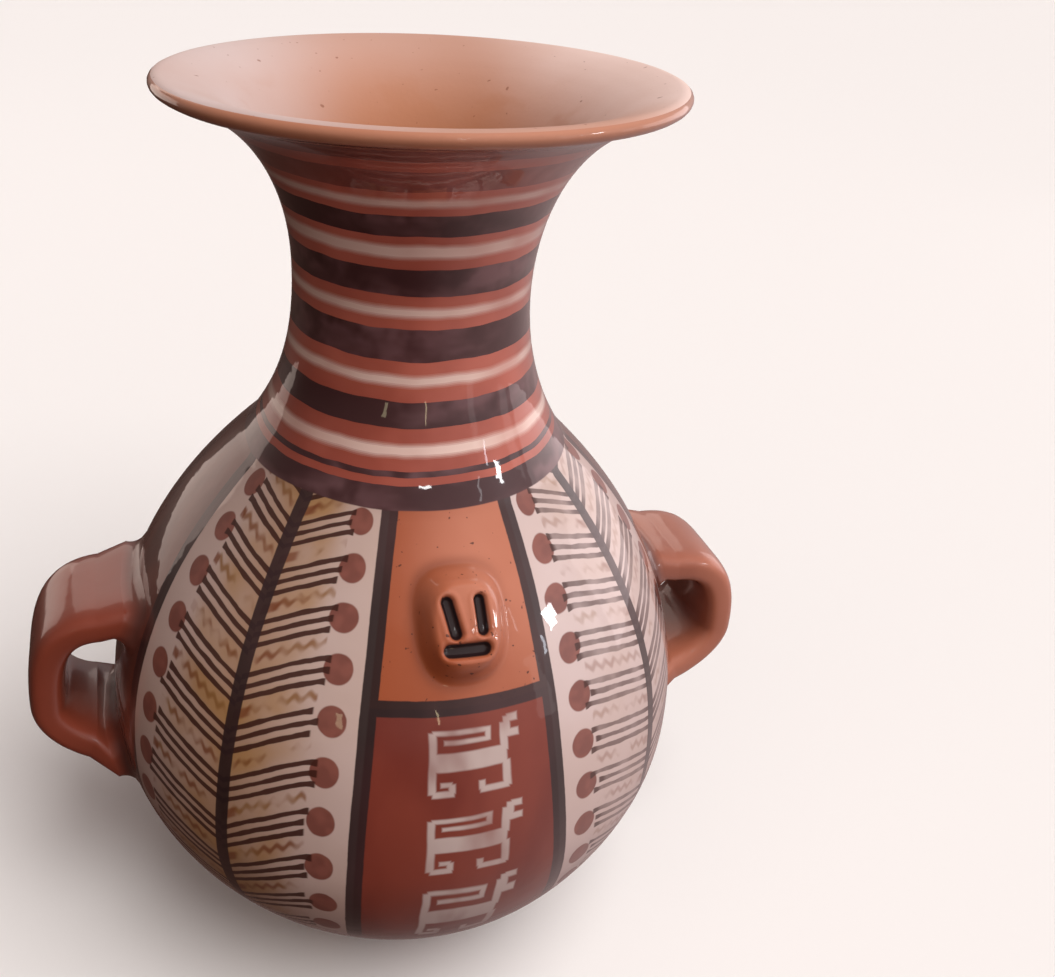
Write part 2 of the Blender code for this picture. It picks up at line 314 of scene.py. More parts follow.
# Panels: name, degrees around and above as for the suns, distance, size, brightness and colour
PANELS = (
    ("back_panel", 176, 33, 1.9, (2.3, 1.1), 1.0, (1.0, 0.84, 0.76)),
    ("left_window", -142, 4, 1.6, (0.9, 0.8), 1.1, (1.0, 0.80, 0.71)),
    ("right_panel", 104, 6, 1.5, (1.2, 0.7), 1.1, (1.0, 0.86, 0.86)),
    ("lamp", 57, 18, 1.5, (0.12, 0.13), 26.0, (0.97, 0.98, 1.0)),
    ("lamp_edge", 49, 14, 1.5, (0.04, 0.14), 9.0, (0.85, 0.90, 1.0)),
    ("front_lamp", 2, 29.5, 1.5, (0.16, 0.03), 22.0, (1.0, 1.0, 1.0)),
    ("low_strip", 41, 25, 1.5, (0.025, 0.18), 3.0, (0.95, 0.97, 1.0)),
    ("warm_strip", 2, 6, 1.5, (0.03, 0.14), 6.0, (1.0, 0.82, 0.50)),
    ("pale_strip", 42, 5, 1.5, (0.16, 0.50), 0.6, (1.0, 0.90, 0.88)),
    ("pale_edge", 74, 5, 1.5, (0.20, 0.50), 0.6, (1.0, 0.90, 0.90)),
    ("warm_square", -32, 6, 1.5, (0.08, 0.12), 3.0, (1.0, 0.88, 0.55)),
)


def direction(slope):
    """Unit step (outwards, up) at this many degrees from straight down."""
    angle = math.radians(slope)
    return np.array((math.sin(angle), -math.cos(angle)))


def curve(start, leave, end, arrive, pull, steps):
    """Points of a cubic curve from start to end that leaves and arrives at these slopes, end left out."""
    start, end = np.array(start), np.array(end)
    chord = np.linalg.norm(end - start)
    first = start + direction(leave) * chord * pull[0]
    last = end - direction(arrive) * chord * pull[1]
    t = np.arange(steps)[:, None] / steps
    s = 1 - t
    return start * s**3 + first * 3 * s * s * t + last * 3 * s * t * t + end * t**3


def outline(steps):
    """The outer wall from under the lip down to the foot, as (radius, height) rows."""
    flare = (FLARE_RADIUS, FLARE_HEIGHT)
    waist = (WAIST_RADIUS, WAIST_HEIGHT)
    collar = (COLLAR_RADIUS, COLLAR_HEIGHT)
    belly = (BELLY_RADIUS, BELLY_HEIGHT)
    foot = (FOOT_RADIUS, 0.0)
    return np.vstack((
        curve(flare, FLARE_SLOPE, waist, 0.0, FLARE_PULL, steps[0]),
        curve(waist, 0.0, collar, COLLAR_SLOPE, NECK_PULL, steps[1]),
        curve(collar, SHOULDER_SLOPE, belly, 0.0, SHOULDER_PULL, steps[2]),
        curve(belly, 0.0, foot, UNDERSIDE_SLOPE, UNDERSIDE_PULL, steps[3]),
        foot,
    ))


def unit(rows):
    return rows / np.linalg.norm(rows, axis=-1, keepdims=True)


def tangents(points):
    return unit(np.gradient(points, axis=0))


class Wall:
    """The outer wall as finely spaced rows, to find places on it by height or by the nearest point."""

    points = outline(WALL_STEPS)
    along = tangents(points)
    steps = np.linalg.norm(np.diff(points, axis=0), axis=1)
    down = np.concatenate(([0.0], np.cumsum(steps)))
    down = down - np.interp(-COLLAR_HEIGHT, -points[:, 1], down)
    # Outward normals, as (outwards, up)
    normal = np.stack((-along[:, 1], along[:, 0]), axis=1)


def wall_at(down):
    """Radius, height and outward normal of the wall at this way down from the collar."""
    return [np.interp(down, Wall.down, column) for column in (*Wall.points.T, *Wall.normal.T)]


def down_at(height):
    return np.interp(-np.asarray(height), -Wall.points[:, 1], Wall.down)


def swell(angle, height):
    """Unevenness of the hand-made wall, outwards."""
    total = 0.0
    for size, around, upright, phase in SWELLS:
        wave = np.sin(around * angle + upright * height * SWELL_SLANT + phase)
        total = total + size * wave * np.cos(upright * height + phase)
    return total


def on_wall(angle, down, lift=0.0):
    """Points on the outer wall, at this angle from the lug and way down, moved outwards by lift."""
    radius, height, out, up = wall_at(down)
    moved = lift + swell(angle, height)
    radius = radius + out * moved
    height = height + up * moved
    return np.stack((radius * np.sin(angle), -radius * np.cos(angle), height), axis=-1)


def nearest_on_wall(points):
    """(angle, down) of the place on the wall nearest to each point, which lies not far from it."""
    angle = np.arctan2(points[..., 0], -points[..., 1])
    out = np.hypot(points[..., 0], points[..., 1])
    down = down_at(points[..., 2])
    for _ in range(NEAREST_ROUNDS):
        radius, height, normal_out, normal_up = wall_at(down)
        # The wall runs down at a right angle to its outward normal
        down = down + (out - radius) * normal_up - (points[..., 2] - height) * normal_out
    return angle, down


def smooth_step(value, low, high):
    t = np.clip((value - low) / (high - low), 0.0, 1.0)
    return t * t * (3 - 2 * t)


def segment_gap(x, y, start, end):
    """Distance of each (x, y) from the straight line between two places."""
    start, end = np.array(start), np.array(end)
    span = end - start
    share = np.clip(((x - start[0]) * span[0] + (y - start[1]) * span[1]) / (span @ span), 0.0, 1.0)
    return np.hypot(x - start[0] - share * span[0], y - start[1] - share * span[1])


def lug_relief(across, down):
    """(lift, groove, hollow): the lug's height over the wall, then 1 in a groove, and the painted shade
    around it.
    """
    half_across = np.abs(across / (LUG_WIDTH / 2)) ** LUG_SQUARENESS
    half_down = np.abs(down / (LUG_LENGTH / 2)) ** LUG_SQUARENESS
    edge = (half_across + half_down) ** (1 / LUG_SQUARENESS)
    crown = 1 - LUG_CROWN * np.clip(edge, 0, 1) ** 2
    lift = LUG_RELIEF * (1 - smooth_step(edge, *LUG_SIDE)) * crown
    groove = np.zeros_like(lift)
    for start, end, half_width in GROOVES:
        gap = segment_gap(across, down, start, end)
        cut = 1 - smooth_step(gap, GROOVE_SIDE[0] * half_width, GROOVE_SIDE[1] * half_width)
        groove = np.maximum(groove, cut)
        rim = np.exp(-(((gap - RIM_PLACE * half_width) / RIM_WIDTH) ** 2))
        lift = lift + RIM_LIFT * rim
    # Painted shade where the lug meets the wall, most at its upper left
    strength = LUG_SHADE_STRENGTH[0] - across * LUG_SHADE_STRENGTH[1] - down * LUG_SHADE_STRENGTH[2]
    hollow = np.exp(-(((edge - LUG_SHADE_PLACE) / LUG_SHADE_WIDTH) ** 2)) * np.clip(strength, 0.0, 1.0)
    return lift - GROOVE_DEPTH * groove, groove, hollow


def add_attribute(mesh, name, values):
    made = mesh.attributes.new(name, "FLOAT", "POINT")
    made.data.foreach_set("value", np.asarray(values, np.float32))


def vertex_rows(mesh):
    rows = np.empty(len(mesh.vertices) * 3)
    mesh.vertices.foreach_get("co", rows)
    return rows.reshape(-1, 3)


def link(name, mesh):
    made = bpy.data.objects.new(name, mesh)
    bpy.context.scene.collection.objects.link(made)
    mesh.shade_smooth()
    return made


def inner_section():
    """The outline moved inwards by the wall, down to the floor of the hollow, as far as the axis."""
    points = outline(INNER_STEPS)
    along = tangents(points)
    moved = points + np.stack((along[:, 1], -along[:, 0]), axis=1) * WALL
    kept = moved[moved[:, 1] > FLOOR_THICKNESS + FLOOR_CORNER[1]]
    corner = np.array((kept[-1][0] - FLOOR_CORNER[0], FLOOR_THICKNESS))
    rings = np.linspace(corner, (corner[0] * HUB_SHARE, FLOOR_THICKNESS), FLOOR_RINGS)
    return np.vstack((kept, rings))


def lip_section(outer_end, inner_end):
    """The rounded bead between the two walls, from the outer one over the top."""
    middle = (outer_end + inner_end) / 2
    across = (inner_end - outer_end) / 2
    angle = (np.pi * np.arange(1, LIP_STEPS) / LIP_STEPS)[:, None]
    return middle - across * np.cos(angle) - direction(FLARE_SLOPE) * LIP_BEAD * np.sin(angle)


def vessel_mesh():
    """The hollow vessel in one closed mesh, finely divided where the lug is to be raised."""
    outer = outline(OUTER_STEPS)
    inner = inner_section()
    underside = np.linspace((FOOT_RADIUS, 0.0), (FOOT_RADIUS * HUB_SHARE, 0.0), FOOT_RINGS + 1)[1:][::-1]
    lip = lip_section(outer[0], inner[0])
    section = np.vstack((underside, outer[::-1], lip, inner))
    is_outer = np.zeros(len(section), bool)
    is_outer[len(underside):len(underside) + len(outer)] = True
    glazed_to = len(underside) + len(outer) + GLAZED_LIP_STEPS
    builder = bmesh.new()
    kind = builder.verts.layers.float.new("outer")
    rings = []
    for (radius, height), outside in zip(section, is_outer):
        ring = []
        for column in range(COLUMNS):
            angle = math.tau * column / COLUMNS
            place = builder.verts.new((radius * math.sin(angle), -radius * math.cos(angle), height))
            place[kind] = float(outside)
            ring.append(place)
        rings.append(ring)
    for row, (lower, upper) in enumerate(zip(rings, rings[1:])):
        bare = row < len(underside) or row >= glazed_to
        for column in range(COLUMNS):
            after = (column + 1) % COLUMNS
            face = builder.faces.new((lower[column], lower[after], upper[after], upper[column]))
            face.material_index = int(bare)
    for ring in (rings[0], rings[-1]):
        hub = builder.verts.new((0.0, 0.0, ring[0].co.z))
        for column in range(COLUMNS):
            face = builder.faces.new((ring[column], ring[(column + 1) % COLUMNS], hub))
            face.material_index = 1
    divide_lug(builder, kind)
    bmesh.ops.recalc_face_normals(builder, faces=builder.faces[:])
    mesh = bpy.data.meshes.new("vessel")
    builder.to_mesh(mesh)
    builder.free()
    return mesh


def lug_place(points):
    """(across, down) of each point from the middle of the lug, along the wall."""
    angle, down = nearest_on_wall(points)
    return angle * np.interp(down, Wall.down, Wall.points[:, 0]), down - down_at(LUG_HEIGHT)


def divide_lug(builder, kind):
    """Divides the faces under the lug, so that its edges and grooves come out fine."""
    faces = [face for face in builder.faces if all(vert[kind] > 0.5 for vert in face.verts)]
    middles = np.array([face.calc_center_median() for face in faces])
    across, down = lug_place(middles)
    near = (np.abs(across) < LUG_REACH * LUG_WIDTH / 2) & (np.abs(down) < LUG_REACH * LUG_LENGTH / 2)
    near &= middles[:, 1] < 0
    edges = {edge for face, inside in zip(faces, near) if inside for edge in face.edges}
    bmesh.ops.subdivide_edges(builder, edges=list(edges), cuts=LUG_CUTS, use_grid_fill=True)


def shape_vessel(mesh):
    """Moves the wall onto its exact form, with its unevenness, the lug and the leaning lip."""
    rows = vertex_rows(mesh)
    outer = np.empty(len(rows), np.float32)
    mesh.attributes["outer"].data.foreach_get("value", outer)
    outside = outer > 0.5
    angle, down = nearest_on_wall(rows[outside])
    across, drop = lug_place(rows[outside])
    front = np.abs(angle) < math.pi / 2
    lift, groove, hollow = (np.where(front, part, 0.0) for part in lug_relief(across, drop))
    # The foot stays flat, and the lip and the inner wall follow the same swells
    moved = rows.copy()
    moved[outside] = on_wall(angle, down, lift)
    rest = ~outside
    around = np.arctan2(rows[rest][:, 0], -rows[rest][:, 1])
    radius = np.hypot(rows[rest][:, 0], rows[rest][:, 1])
    share = 1 + swell(around, rows[rest][:, 2]) / np.maximum(radius, SWELL_RADIUS)
    moved[rest, :2] *= share[:, None]
    foot = rows[:, 2] < ON_GROUND
    moved[foot, 2] = 0.0
    full_down = down_at(moved[:, 2])
    full_down[outside] = down
    lean = LIP_LEAN[0] + LIP_LEAN[1] * moved[:, 0] + LIP_LEAN[2] * moved[:, 1]
    moved[:, 2] += lean * smooth_step(moved[:, 2], WAIST_HEIGHT, FLARE_HEIGHT)
    full_groove = np.zeros(len(rows))
    full_groove[outside] = groove
    # Painted shade around the lug, kept as the attribute named hollow for the paint
    full_lug_shade = np.zeros(len(rows))
    full_lug_shade[outside] = hollow
    mesh.vertices.foreach_set("co", moved.ravel())
    add_attribute(mesh, "down", full_down * 1000)
    add_attribute(mesh, "groove", full_groove)
    add_attribute(mesh, "hollow", full_lug_shade)
    add_attribute(mesh, "strap", np.zeros(len(rows)))
    mesh.attributes.remove(mesh.attributes["outer"])
    mesh.update()


def make_vessel():
    mesh = vessel_mesh()
    shape_vessel(mesh)
    return link("vessel", mesh)


def handle_line(name):
    """Middle line of a strap in its own plane, from the upper root out and down to the lower one."""
    root = HANDLE_ROOT + STRAP_LIFT[name]
    top = np.array((float(wall_at(down_at(root))[0]), root))
    bottom = np.array((float(wall_at(down_at(HANDLE_BOTTOM))[0]), HANDLE_BOTTOM))
    reach = HANDLE_REACH + STRAP_REACH[name] - HANDLE_THICKNESS / 2
    knee = np.array((reach, HANDLE_TOP + (HANDLE_BOTTOM - HANDLE_TOP) * HANDLE_KNEE))
    corners = (
        (top, np.array((knee[0], HANDLE_TOP + STRAP_LIFT[name])), knee, HANDLE_TOP_PULL),
        (knee, np.array((knee[0], bottom[1])), bottom, HANDLE_BOTTOM_PULL),
    )
    rows = []
    for start, corner, end, pull in corners:
        first = start + (corner - start) * pull[0]
        last = end + (corner - end) * pull[1]
        t = np.arange(HANDLE_STEPS)[:, None] / HANDLE_STEPS
        s = 1 - t
        rows.append(start * s**3 + first * 3 * s * s * t + last * 3 * s * t * t + end * t**3)
    return np.vstack(rows + [bottom])


def signed_power(value, exponent):
    return np.sign(value) * np.abs(value) ** exponent


def strap_rings(name, side):
    """Rings of the bare strap, root to root, before its ends are drawn into the wall."""
    line = handle_line(name)
    along = tangents(line)
    last = len(line) - 1
    turn = math.tau * (np.arange(HANDLE_SIDES) + 0.5) / HANDLE_SIDES
    across = signed_power(np.cos(turn), STRAP_SQUARENESS[0])
    out = signed_power(np.sin(turn), STRAP_SQUARENESS[1])
    rings = []
    for index, point in enumerate(line):
        share = index / last
        end_share = abs(2 * share - 1)
        widest = STRAP_TOP_BREADTH[name] if share < 0.5 else HANDLE_BOTTOM_BREADTH
        breadth = HANDLE_BREADTH + (widest - HANDLE_BREADTH) * end_share**2
        outwards = np.array((-along[index][1], along[index][0]))
        place = point + outwards * (out * HANDLE_THICKNESS / 2)[:, None]
        level = HANDLE_SET_BACK + across * breadth / 2
        rings.append(np.stack((side * place[:, 0], level, place[:, 1]), axis=1))
    return np.array(rings)


def root_rings(start, back):
    """Rings that carry a strap's free end down to the wall in a hollow fillet, nearest the strap first."""
    # Where straight lines from the strap meet the wall
    step = unit(start - back)
    place = start.copy()
    for _ in range(ROOT_ROUNDS):
        angle, down = nearest_on_wall(place)
        gap = np.linalg.norm(place - on_wall(angle, down), axis=1)
        inside = np.hypot(place[:, 0], place[:, 1]) < np.hypot(*on_wall(angle, down)[:, :2].T)
        place = place + step * np.where(inside, -gap, gap)[:, None]
    foot_angle, foot_down = nearest_on_wall(place)
    foot = on_wall(foot_angle, foot_down)
    normal = unit(on_wall(foot_angle, foot_down, NORMAL_STEP) - foot)
    around = unit(np.roll(foot, -1, axis=0) - np.roll(foot, 1, axis=0))
    away = unit(np.cross(normal, around))
    middle = foot.mean(axis=0)
    away = away * np.sign(((foot - middle) * away).sum(axis=1, keepdims=True))
    made = []
    for step_index in range(1, FILLET_STEPS + 2):
        height = FILLET * max(0.0, 1 - step_index / FILLET_STEPS)
        spread = FILLET - math.sqrt(FILLET**2 - (FILLET - height) ** 2)
        lift = height
        if step_index > FILLET_STEPS:
            spread = FILLET + FLANGE_SKIRT
            lift = -FLANGE_DIP
        angle, down = nearest_on_wall(foot + away * spread)
        made.append(on_wall(angle, down, lift))
    return made


def make_handle(name, side):
    """One strap with both roots drawn out over the wall, as a tube whose hidden ends lie just inside it."""
    rings = strap_rings(name, side)
    angle, down = nearest_on_wall(rings.reshape(-1, 3))
    surface = on_wall(angle, down)
    gap = np.linalg.norm(rings.reshape(-1, 3) - surface, axis=1).reshape(rings.shape[:2])
    beyond = np.hypot(rings[..., 0], rings[..., 1]) > np.hypot(*surface[:, :2].T).reshape(gap.shape)
    free = ((gap > FILLET) & beyond).all(axis=1)
    first = int(np.argmax(free))
    last = len(rings) - 1 - int(np.argmax(free[::-1]))
    kept = list(rings[first:last + 1])
    upper = root_rings(kept[0], kept[1])[::-1]
    lower = root_rings(kept[-1], kept[-2])
    all_rings = upper + kept + lower
    builder = bmesh.new()
    made = [[builder.verts.new(point) for point in ring] for ring in all_rings]
    for one, two in zip(made, made[1:]):
        for number in range(HANDLE_SIDES):
            after = (number + 1) % HANDLE_SIDES
            builder.faces.new((one[number], one[after], two[after], two[number]))
    bmesh.ops.recalc_face_normals(builder, faces=builder.faces[:])
    mesh = bpy.data.meshes.new(name)
    builder.to_mesh(mesh)
    builder.free()
    rows = vertex_rows(mesh)
    angle, down = nearest_on_wall(rows)
    off_wall = np.linalg.norm(rows - on_wall(angle, down), axis=1)
    add_attribute(mesh, "down", down * 1000)
    add_attribute(mesh, "groove", np.zeros(len(rows)))
    add_attribute(mesh, "strap", smooth_step(off_wall, STRAP_PAINT_START, FILLET))
    return link(name, mesh)


class Value:
    """A number in a node tree that adds, multiplies and compares like a plain one."""

    def __init__(self, tree, socket):
        self.tree = tree
        self.socket = socket

    def joined(self, operation, *others):
        node = self.tree.nodes.new("ShaderNodeMath")
        node.operation = operation
        for number, given in enumerate((self, *others)):
            plug(self.tree, given, node.inputs[number])
        return Value(self.tree, node.outputs[0])

    def __add__(self, other):
        return self.joined("ADD", other)

    def __sub__(self, other):
        return self.joined("SUBTRACT", other)

    def __rsub__(self, other):
        return self.joined("MULTIPLY_ADD", -1.0, other)

    def __mul__(self, other):
        return self.joined("MULTIPLY", other)

    def __rmul__(self, other):
        return self.joined("MULTIPLY", other)

    def __truediv__(self, other):
        return self.joined("DIVIDE", other)

    def __abs__(self):
        return self.joined("ABSOLUTE")

    def low(self, other):
        return self.joined("MINIMUM", other)

    def high(self, other):
        return self.joined("MAXIMUM", other)

    def power(self, other):
        return self.joined("POWER", other)

    def fraction(self):
        return self.joined("FRACT")

    def whole(self):
        return self.joined("FLOOR")

    def rise(self, start, end):
        """0 up to start, 1 from end on, and smooth between."""
        node = self.tree.nodes.new("ShaderNodeMapRange")
        node.interpolation_type = "SMOOTHSTEP"
        plug(self.tree, self, node.inputs["Value"])
        plug(self.tree, start, node.inputs["From Min"])
        plug(self.tree, end, node.inputs["From Max"])
        return Value(self.tree, node.outputs["Result"])

    def fall(self, start, end):
        return 1.0 - self.rise(start, end)

    def between(self, start, end, edge):
        return self.rise(start - edge, start + edge) * self.fall(end - edge, end + edge)


def plug(tree, given, socket):
    """Joins a value to a socket, or sets the socket where the value is a plain number or colour."""
    if isinstance(given, Value):
        tree.links.new(given.socket, socket)
    elif isinstance(given, tuple) and len(given) == 3 and socket.type == "RGBA":
        socket.default_value = (*given, 1.0)
    else:
        socket.default_value = given


def mixed(tree, share, one, two):
    """The colour that goes from one to two as the share goes from 0 to 1."""
    node = tree.nodes.new("ShaderNodeMix")
    node.data_type = "RGBA"
    # The node's colour sockets come after those for numbers and vectors
    plug(tree, share, node.inputs[0])
    plug(tree, one, node.inputs[6])
    plug(tree, two, node.inputs[7])
    return Value(tree, node.outputs[2])


def chosen(share, one, two):
    """The number that goes from one to two as the share goes from 0 to 1."""
    return (two - one) * share + one


def field(right, inner, values):
    """The value for (outer left, outer right, inner left, inner right)."""
    return chosen(inner, chosen(right, *values[:2]), chosen(right, *values[2:]))


class Canvas:
    """Places on the pot that its paint is laid out by, in one material's tree."""

    def __init__(self, tree):
        self.tree = tree
        where = tree.nodes.new("ShaderNodeTexCoord")
        self.place = Value(tree, where.outputs["Object"])
        split = tree.nodes.new("ShaderNodeSeparateXYZ")
        plug(tree, self.place, split.inputs[0])
        x, y = (Value(tree, output) for output in split.outputs[:2])
        self.x = x
        self.radius = (x * x + y * y).power(0.5) * 1000.0
        self.angle = x.joined("ARCTAN2", y * -1.0) * math.degrees(1.0)
        self.turn = abs(self.angle)
        self.right = x.joined("GREATER_THAN", 0.0)
        self.down = self.attribute("down")

    def attribute(self, name):
        node = self.tree.nodes.new("ShaderNodeAttribute")
        node.attribute_name = name
        return Value(self.tree, node.outputs["Fac"])

    def noise(self, scale, detail=2.0, stretch=(1.0, 1.0, 1.0), shift=0.0):
        """Cloudy values about 0.5, by place, with the scale in waves per metre."""
        turn = self.tree.nodes.new("ShaderNodeMapping")
        turn.inputs["Scale"].default_value = stretch
        turn.inputs["Location"].default_value = (shift, shift / 2, 0.0)
        plug(self.tree, self.place, turn.inputs["Vector"])
        node = self.tree.nodes.new("ShaderNodeTexNoise")
        plug(self.tree, Value(self.tree, turn.outputs[0]), node.inputs["Vector"])
        node.inputs["Scale"].default_value = scale
        node.inputs["Detail"].default_value = detail
        return Value(self.tree, node.outputs[0])

    def ragged(self, amount, scale, detail=2.0, stretch=(1.0, 1.0, 1.0), shift=0.0):
        """Cloudy values about 0, this much from the lowest to the highest."""
        return (self.noise(scale, detail, stretch, shift) - 0.5) * amount

    def chance(self, number, seed):
        """An even random value from 0 to 1 for each whole number."""
        node = self.tree.nodes.new("ShaderNodeTexWhiteNoise")
        node.noise_dimensions = "1D"
        plug(self.tree, number + seed, node.inputs["W"])
        return Value(self.tree, node.outputs["Value"])

    def line(self, lines):
        """Degrees from the lug of an upright line that differs between left and right."""
        made = []
        for start, slope, bend in lines:
            made.append((self.down * bend + slope) * self.down + start)
        return chosen(self.right, *made)

    def gap(self, line):
        """Millimetres from an upright line along the wall, positive away from the lug."""
        return (self.turn - line) * self.radius * math.radians(1.0)


def neck_codes(canvas, wobble):
    """(redness, whiteness, darkness) of the neck's paint, its edges moved by the wobble in millimetres."""
    tree = canvas.tree
    top, bottom = NECK_SPAN
    ramp = tree.nodes.new("ShaderNodeValToRGB")
    ramp.color_ramp.interpolation = "CONSTANT"
    plug(tree, (canvas.down + wobble - top) / (bottom - top), ramp.inputs[0])
    stops = ramp.color_ramp.elements
    start = 0.0
    # A ramp starts with two stops, and the rest are added
    for number, (end, kind) in enumerate(NECK_PAINT):
        stop = stops[number] if number < 2 else stops.new(start)
        stop.position = start
        stop.color = (*NECK_CODES[kind], 1.0)
        start = (end - top) / (bottom - top)
    split = tree.nodes.new("ShaderNodeSeparateColor")
    plug(tree, Value(tree, ramp.outputs[0]), split.inputs[0])
    return [Value(tree, output) for output in split.outputs]


def neck_colours(canvas, wash, streak):
    """The painted rings of the neck."""
    tree = canvas.tree
    wobble = canvas.ragged(3.2, 14.0, stretch=(1.0, 1.0, 0.2)) + canvas.ragged(1.8, 60.0)
    redness, _, darkness = neck_codes(canvas, wobble)
    # The whites are thinner towards their edges
    shifted = [neck_codes(canvas, wobble + offset)[1] for offset in WHITE_SHIFTS]
    total = shifted[0]
    for other in shifted[1:]:
        total = total + other
    whiteness = (total * (1 / len(shifted))).power(WHITE_POWER)
    red = mixed(tree, (wash * 0.8 + canvas.down.rise(-75.0, -8.0) * 0.45).low(1.0), NECK_RED, NECK_RED_DEEP)
    colour = mixed(tree, redness, LIP_SLIP, red)
    thin = whiteness * (canvas.noise(26.0, 2.0, (1.0, 1.0, 0.3), 3.0).rise(0.28, 0.62) * 0.50 + 0.45)
    colour = mixed(tree, thin, colour, NECK_WHITE)
    # Paler patches on the dark rings: uneven paint, with painted reflections in the glaze
    pale_patches = streak * canvas.noise(70.0, 2.0, shift=43.0).rise(0.35, 0.6)
    dark = mixed(tree, pale_patches, NECK_DARK, NECK_DARK_WASH_AND_REFLECTION)
    return mixed(tree, (darkness * 1.9).low(1.0) * 0.97, colour, dark)


def fern_colours(canvas, wash):
    """(ground, stem): cream panels with dots along both edges and three strokes from each to the stem."""
    tree = canvas.tree
    down = canvas.down
    stem = canvas.line(STEM_LINES)
    inner = stem.joined("GREATER_THAN", canvas.turn)
    side = canvas.right * SIDE_SEEDS[0] + inner * SIDE_SEEDS[1]
    degrees = abs(canvas.turn - stem)
    along = degrees * canvas.radius * math.radians(1.0)
    ragged = canvas.ragged(1.3, 60.0, shift=1.0) + canvas.ragged(0.4, 250.0, 1.0)
    dot_line = chosen(inner, stem + OUTER_DOT, canvas.line(FRONT_LINES) + INNER_DOT[0] + down * INNER_DOT[1])
    span = abs(dot_line - stem) - TIP_GAP
    share = (degrees / span).low(1.0)
    fall = field(canvas.right, inner, FERN_FALL_GROWTH) * down + field(canvas.right, inner, FERN_FALL)
    level = down - fall * (1.0 - share).power(FALL_CURVE) - field(canvas.right, inner, FERN_FIRST)
    rate = field(canvas.right, inner, FERN_RATE) + field(canvas.right, inner, FERN_CHANGE) * down
    count = level * rate + 0.5
    number = count.whole() + side
    gap_number = (count + 0.5).whole() + side
    across = (count.fraction() - 0.5) * FERN_UNIT + ragged - 0.4
    middle = ((count + 0.5).fraction() - 0.5) * FERN_UNIT + ragged

    nearest = abs(across).low(abs(abs(across) - STROKE_GAP))
    which = (across / STROKE_GAP + 0.5).whole() + number * 7.0
    tip = (canvas.chance(which, 9.5) - 0.5) * 2.4 + span - degrees
    blob = tip.fall(0.2, 1.6) * 0.35
    width = canvas.ragged(0.8, 110.0, 1.0, shift=5.0) + blob + STROKE_HALF
    width = width + canvas.right * (1.0 - inner) * OUTER_RIGHT_EXTRA
    strokes = (nearest - width).fall(-0.22, 0.22) * tip.rise(-0.35, 0.15)
    strokes = strokes * abs(across).fall(STROKE_GAP + 2.0, STROKE_GAP + 2.2)
    solid = (tip.fall(0.8, 2.2) + along.fall(3.5, 9.0)).low(1.0)
    thin = canvas.noise(80.0, 2.0, shift=14.0).rise(0.25, 0.65) * 0.25 + 0.50
    strokes = strokes * chosen(canvas.right, 0.96, chosen(solid, thin, 0.92))

    dot_jitter = (canvas.chance(number, 21.5) - 0.5) * 1.6
    out = (canvas.gap(dot_line) + dot_jitter + ragged * 0.7) / (DOT_SIZE[0] - down.fall(0.0, 40.0))
    drop_off = (across + 1.0) / DOT_SIZE[1]
    round_gap = (out * out + drop_off * drop_off).power(0.5)
    dots = round_gap.fall(0.92, 1.05)

    wave = (along * (math.tau / SQUIGGLE_WAVE) + canvas.chance(gap_number, 33.5) * 6.0).joined("SINE")
    broken = canvas.noise(75.0, 2.0, shift=8.0).rise(0.36, 0.56)
    squiggle = abs(middle + wave * 0.95).fall(0.3, 2.3) * broken
    squiggle = squiggle * (span - degrees).rise(0.2, 0.8) * along.rise(2.0, 6.0)
    tint = abs(middle).fall(3.0, 8.0) * share.fall(0.45, 1.0)
    tint = tint * canvas.noise(35.0, 2.0, shift=4.0).rise(0.30, 0.64)
    end = chosen(inner, (span - degrees).between(0.2, 1.9, 0.3), along.fall(5.5, 8.0))
    blot = abs(middle - 0.6).fall(1.2, 2.6) * end * canvas.chance(gap_number, 40.5).rise(0.25, 0.40)

    left = 1.0 - canvas.right
    # Painted shade: the left ferns' ground is darker and tan, most towards the stem
    ground = mixed(tree, left * (1.0 - share) * 0.70 + left * 0.30, CREAM, CREAM_TAN)
    ground = mixed(tree, wash * 0.22, ground, CREAM_TAN)
    ground = mixed(tree, tint * chosen(canvas.right, 0.80, 0.12), ground, OCHRE)
    mark = mixed(tree, canvas.noise(45.0, shift=6.0).rise(0.35, 0.65), OCHRE_DEEP, RUST)
    ground = mixed(tree, squiggle * chosen(canvas.right, 0.85, 0.40), ground, mark)
    ground = mixed(tree, blot * chosen(canvas.right, 0.75, 0.35), ground, RUST)
    dot_wash = canvas.noise(160.0, 1.0, shift=2.0).rise(0.35, 0.7)
    dot = mixed(tree, dot_wash, DOT, DOT_LIGHT)
    ground = mixed(tree, dots * 0.92, ground, dot)
    ground = mixed(tree, strokes, ground, STROKE)
    stem_gap = abs(canvas.gap(stem) + ragged * 0.5)
    stem_mark = stem_gap.fall(STEM_HALF - 0.25, STEM_HALF + 0.3)
    return ground, stem_mark


